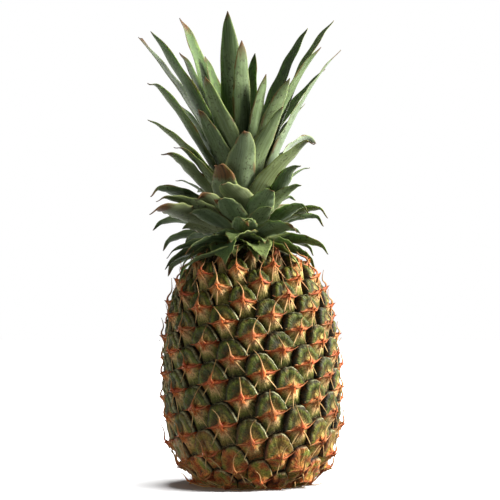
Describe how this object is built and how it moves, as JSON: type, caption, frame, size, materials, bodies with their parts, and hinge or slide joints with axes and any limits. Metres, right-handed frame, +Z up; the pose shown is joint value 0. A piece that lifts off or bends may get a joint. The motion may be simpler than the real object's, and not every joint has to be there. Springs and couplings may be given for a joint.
{
  "type": "pineapple",
  "caption": "Whole ripe pineapple standing on its cut base, with a diamond-patterned spiny skin and a full crown of pointed green leaves.",
  "frame": {"origin": "middle of the flat foot of the fruit, on the plane it stands on", "axes": "+Z up through the fruit and its crown, -Y towards the viewer of the picture, +X to the viewer's right"},
  "size_m": [0.1435, 0.1271, 0.328],
  "materials": {
    "fruit_skin": "waxy dark green and orange-brown skin",
    "cut_stalk": "dry cut fibre",
    "crown_stem": "pale green stem",
    "leaf": "satin waxy leaf with a fine pale bloom"
  },
  "bodies": {
    "root": {"fruit": "fruit_skin", "cut_stalk": "cut_stalk", "crown_stem": "crown_stem", "leaf_01": "leaf", "leaf_02": "leaf", "leaf_03": "leaf", "leaf_04": "leaf", "leaf_05": "leaf", "leaf_06": "leaf", "leaf_07": "leaf", "leaf_08": "leaf", "leaf_09": "leaf", "leaf_10": "leaf", "leaf_11": "leaf", "leaf_12": "leaf", "leaf_13": "leaf", "leaf_14": "leaf", "leaf_15": "leaf", "leaf_16": "leaf", "leaf_17": "leaf", "leaf_18": "leaf", "leaf_19": "leaf", "leaf_20": "leaf", "leaf_21": "leaf", "leaf_22": "leaf", "leaf_23": "leaf", "leaf_24": "leaf", "leaf_25": "leaf", "leaf_26": "leaf", "leaf_27": "leaf", "leaf_28": "leaf", "leaf_29": "leaf", "leaf_30": "leaf", "leaf_31": "leaf", "leaf_32": "leaf", "leaf_33": "leaf", "leaf_34": "leaf", "leaf_35": "leaf", "leaf_36": "leaf", "leaf_37": "leaf", "leaf_38": "leaf", "leaf_39": "leaf", "leaf_40": "leaf", "leaf_41": "leaf", "leaf_42": "leaf", "leaf_43": "leaf", "leaf_44": "leaf", "leaf_45": "leaf", "leaf_46": "leaf", "leaf_47": "leaf", "leaf_48": "leaf", "leaf_49": "leaf", "leaf_50": "leaf", "leaf_51": "leaf", "leaf_52": "leaf", "leaf_53": "leaf", "leaf_54": "leaf", "leaf_55": "leaf", "leaf_56": "leaf", "leaf_57": "leaf"}
  },
  "joints": []
}
